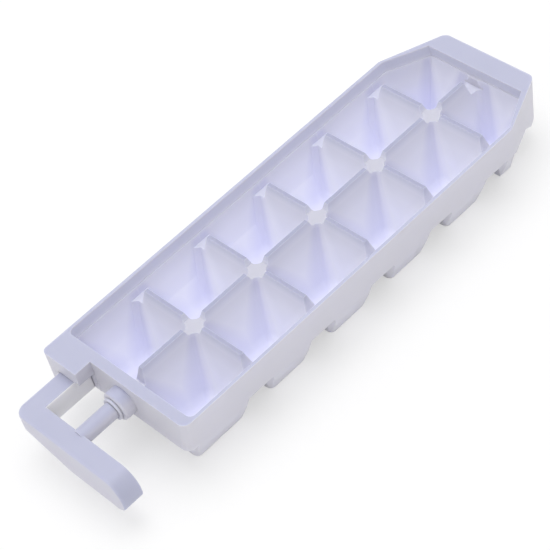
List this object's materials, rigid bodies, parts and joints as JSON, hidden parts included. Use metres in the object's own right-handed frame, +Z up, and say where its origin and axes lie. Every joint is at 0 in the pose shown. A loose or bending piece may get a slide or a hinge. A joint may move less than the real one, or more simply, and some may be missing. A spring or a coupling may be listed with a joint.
{
  "type": "lever ice cube tray",
  "caption": "Two-row ice cube tray in translucent plastic with a crank lever hinged on a front boss; the lever twists the tray to loosen the cubes.",
  "frame": {"origin": "middle of the whole object's footprint, on the surface that the cells stand on", "axes": "+Z up, Y along the tray with the lever at -Y, X across the tray with the lever's arm at -X"},
  "size_m": [0.0798, 0.2702, 0.036],
  "materials": {
    "tray_plastic": "satin, translucent",
    "lever_plastic": "satin, translucent",
    "pin_plastic": "satin"
  },
  "bodies": {
    "tray": {"ice_tray": "tray_plastic", "pivot_pin": "pin_plastic", "shaft_collar": "pin_plastic"},
    "lever": {"twist_lever": "lever_plastic"}
  },
  "joints": [
    {"name": "lever_turn", "type": "hinge", "parent": "tray", "child": "lever", "pos_m": [0, -0.11578, 0.02485], "axis": [0, 1, 0], "range_deg": [-28, 0]}
  ]
}
